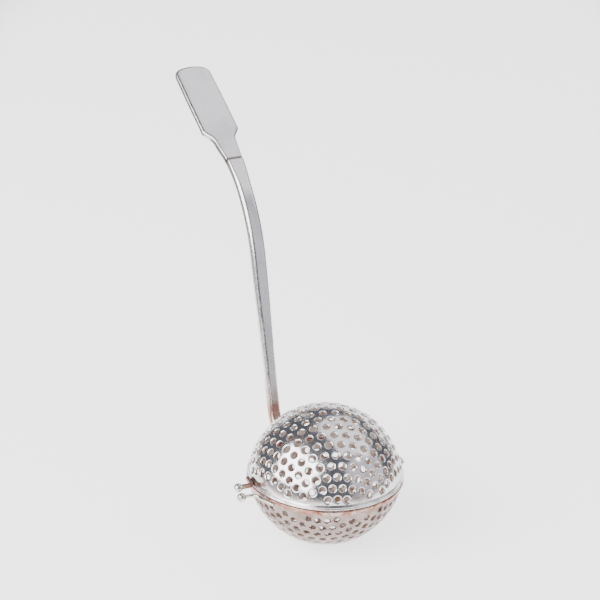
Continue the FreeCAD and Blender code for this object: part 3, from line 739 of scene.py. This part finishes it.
# Matt white paper with a painted pool of light: in a wide pool under the object it is painted white and
# glows by emission, though it is no lamp. The pool ends at the left along a straight edge; away from it the
# paper is painted a warm grey as painted shade, which the polished metal shows as a horizon.
paper = bpy.data.materials.new("paper_painted_light_pool")
paper.use_nodes = True
paper_tree = paper.node_tree
paper_shader = paper_tree.nodes["Principled BSDF"]
paper_place = add_node(paper_tree, "ShaderNodeTexCoord").outputs["Object"]
pool_place = add_node(paper_tree, "ShaderNodeMapping",
                      {"vector_type": "TEXTURE", "Location": (POOL_X * MM, POOL_Y * MM, floor_z),
                       "Rotation": (0, 0, math.radians(POOL_TURN)),
                       "Scale": (POOL_WIDE * MM, POOL_LONG * MM, 1)}, {"Vector": paper_place})
pool_way = add_node(paper_tree, "ShaderNodeVectorMath", {"operation": "LENGTH"},
                    {0: pool_place.outputs["Vector"]})
pool = add_node(paper_tree, "ShaderNodeMapRange",
                {"interpolation_type": "SMOOTHSTEP", "From Min": POOL_FULL, "From Max": POOL_END,
                 "To Min": 1.0, "To Max": 0.0}, {"Value": pool_way.outputs["Value"]})
edge_way = (math.cos(math.radians(EDGE_TURN)), -math.sin(math.radians(EDGE_TURN)), 0)
across_edge = add_node(paper_tree, "ShaderNodeVectorMath", {"operation": "DOT_PRODUCT", 1: edge_way},
                       {0: paper_place})
lit = add_node(paper_tree, "ShaderNodeMapRange",
               {"interpolation_type": "SMOOTHSTEP", "From Min": -EDGE_END * MM, "From Max": -EDGE_FULL * MM},
               {"Value": across_edge.outputs["Value"]})
pool_lit = add_node(paper_tree, "ShaderNodeMath", {"operation": "MULTIPLY"},
                    {0: pool.outputs["Result"], 1: lit.outputs["Result"]})
# painted light and shade: the paper is white in the pool and painted warm grey beyond it
paper_colour = add_node(paper_tree, "ShaderNodeMix",
                        {"data_type": "RGBA", 6: linear("#8F857D"), 7: linear("#F4F3F2")},
                        {"Factor": pool_lit.outputs["Value"]})
# painted light: the paper glows by emission inside the pool
painted_pool_glow = add_node(paper_tree, "ShaderNodeMath", {"operation": "MULTIPLY", 1: PAINTED_POOL_GLOW},
                      {0: pool_lit.outputs["Value"]})
paper_tree.links.new(paper_colour.outputs[2], paper_shader.inputs["Base Color"])
paper_tree.links.new(painted_pool_glow.outputs["Value"], paper_shader.inputs["Emission Strength"])
paper_shader.inputs["Roughness"].default_value = 0.9
paper_shader.inputs["Emission Color"].default_value = linear("#FFFFFF")
floor_mesh.materials.append(paper)

world = bpy.data.worlds.new("studio")
world.use_nodes = True
world.node_tree.nodes["Background"].inputs["Color"].default_value = linear("#8E959E")
world.node_tree.nodes["Background"].inputs["Strength"].default_value = 0.55
bpy.context.scene.world = world

# The camera aims above the ball, at the middle of the whole, and is rolled a little.
AIM = Vector((0, 22.3, 51.75)) * MM
VIEW_AZIMUTH = -27.16
VIEW_ELEVATION = 24.5
VIEW_DISTANCE = 794.5 * MM
VIEW_ROLL = 2.1


def away(azimuth, elevation):
    """Unit direction from the object at an azimuth from -Y, turning towards +X, and an elevation."""
    a, e = math.radians(azimuth), math.radians(elevation)
    return Vector((math.sin(a) * math.cos(e), -math.cos(a) * math.cos(e), math.sin(e)))


def soft_box(name, azimuth, elevation, distance, width, height, radiance, tint):
    """A rectangular soft light that faces the ball; its power is radiance times area times pi."""
    light = bpy.data.lights.new(name, "AREA")
    light.shape = "RECTANGLE"
    light.size, light.size_y = width, height
    light.energy = radiance * width * height * math.pi
    light.color = linear(tint)[:3]
    lamp = bpy.data.objects.new(name, light)
    bpy.context.scene.collection.objects.link(lamp)
    way = away(azimuth, elevation)
    lamp.matrix_world = Matrix.Translation(way * distance) @ way.to_track_quat("Z", "Y").to_matrix().to_4x4()
    return lamp


# azimuth, elevation, distance, width and height in metres, radiance, and tint
soft_box("key_box", -80, 33, 0.9, 1.15, 0.8, 8.0, "#FFFFFF")
soft_box("right_wall", 45, 24, 1.4, 1.6, 1.3, 1.0, "#F4F4FC")
soft_box("overhead", 100, 62, 1.4, 1.7, 1.4, 1.7, "#F8F6FA")
soft_box("back_wall", 148, 9, 1.6, 2.2, 0.45, 2.4, "#FFFFFF")

camera_data = bpy.data.cameras.new("camera")
camera_data.lens = 148.8
camera_data.sensor_width = 36.0
camera_data.clip_start = 0.01
camera = bpy.data.objects.new("camera", camera_data)
bpy.context.scene.collection.objects.link(camera)
back = away(VIEW_AZIMUTH, VIEW_ELEVATION)
level = Vector((0, 0, 1)).cross(back).normalized()
upright = back.cross(level)
roll = math.radians(VIEW_ROLL)
right = level * math.cos(roll) + upright * math.sin(roll)
top = upright * math.cos(roll) - level * math.sin(roll)
facing = Matrix((right, top, back)).transposed().to_4x4()
camera.matrix_world = Matrix.Translation(AIM + back * VIEW_DISTANCE) @ facing
bpy.context.scene.camera = camera
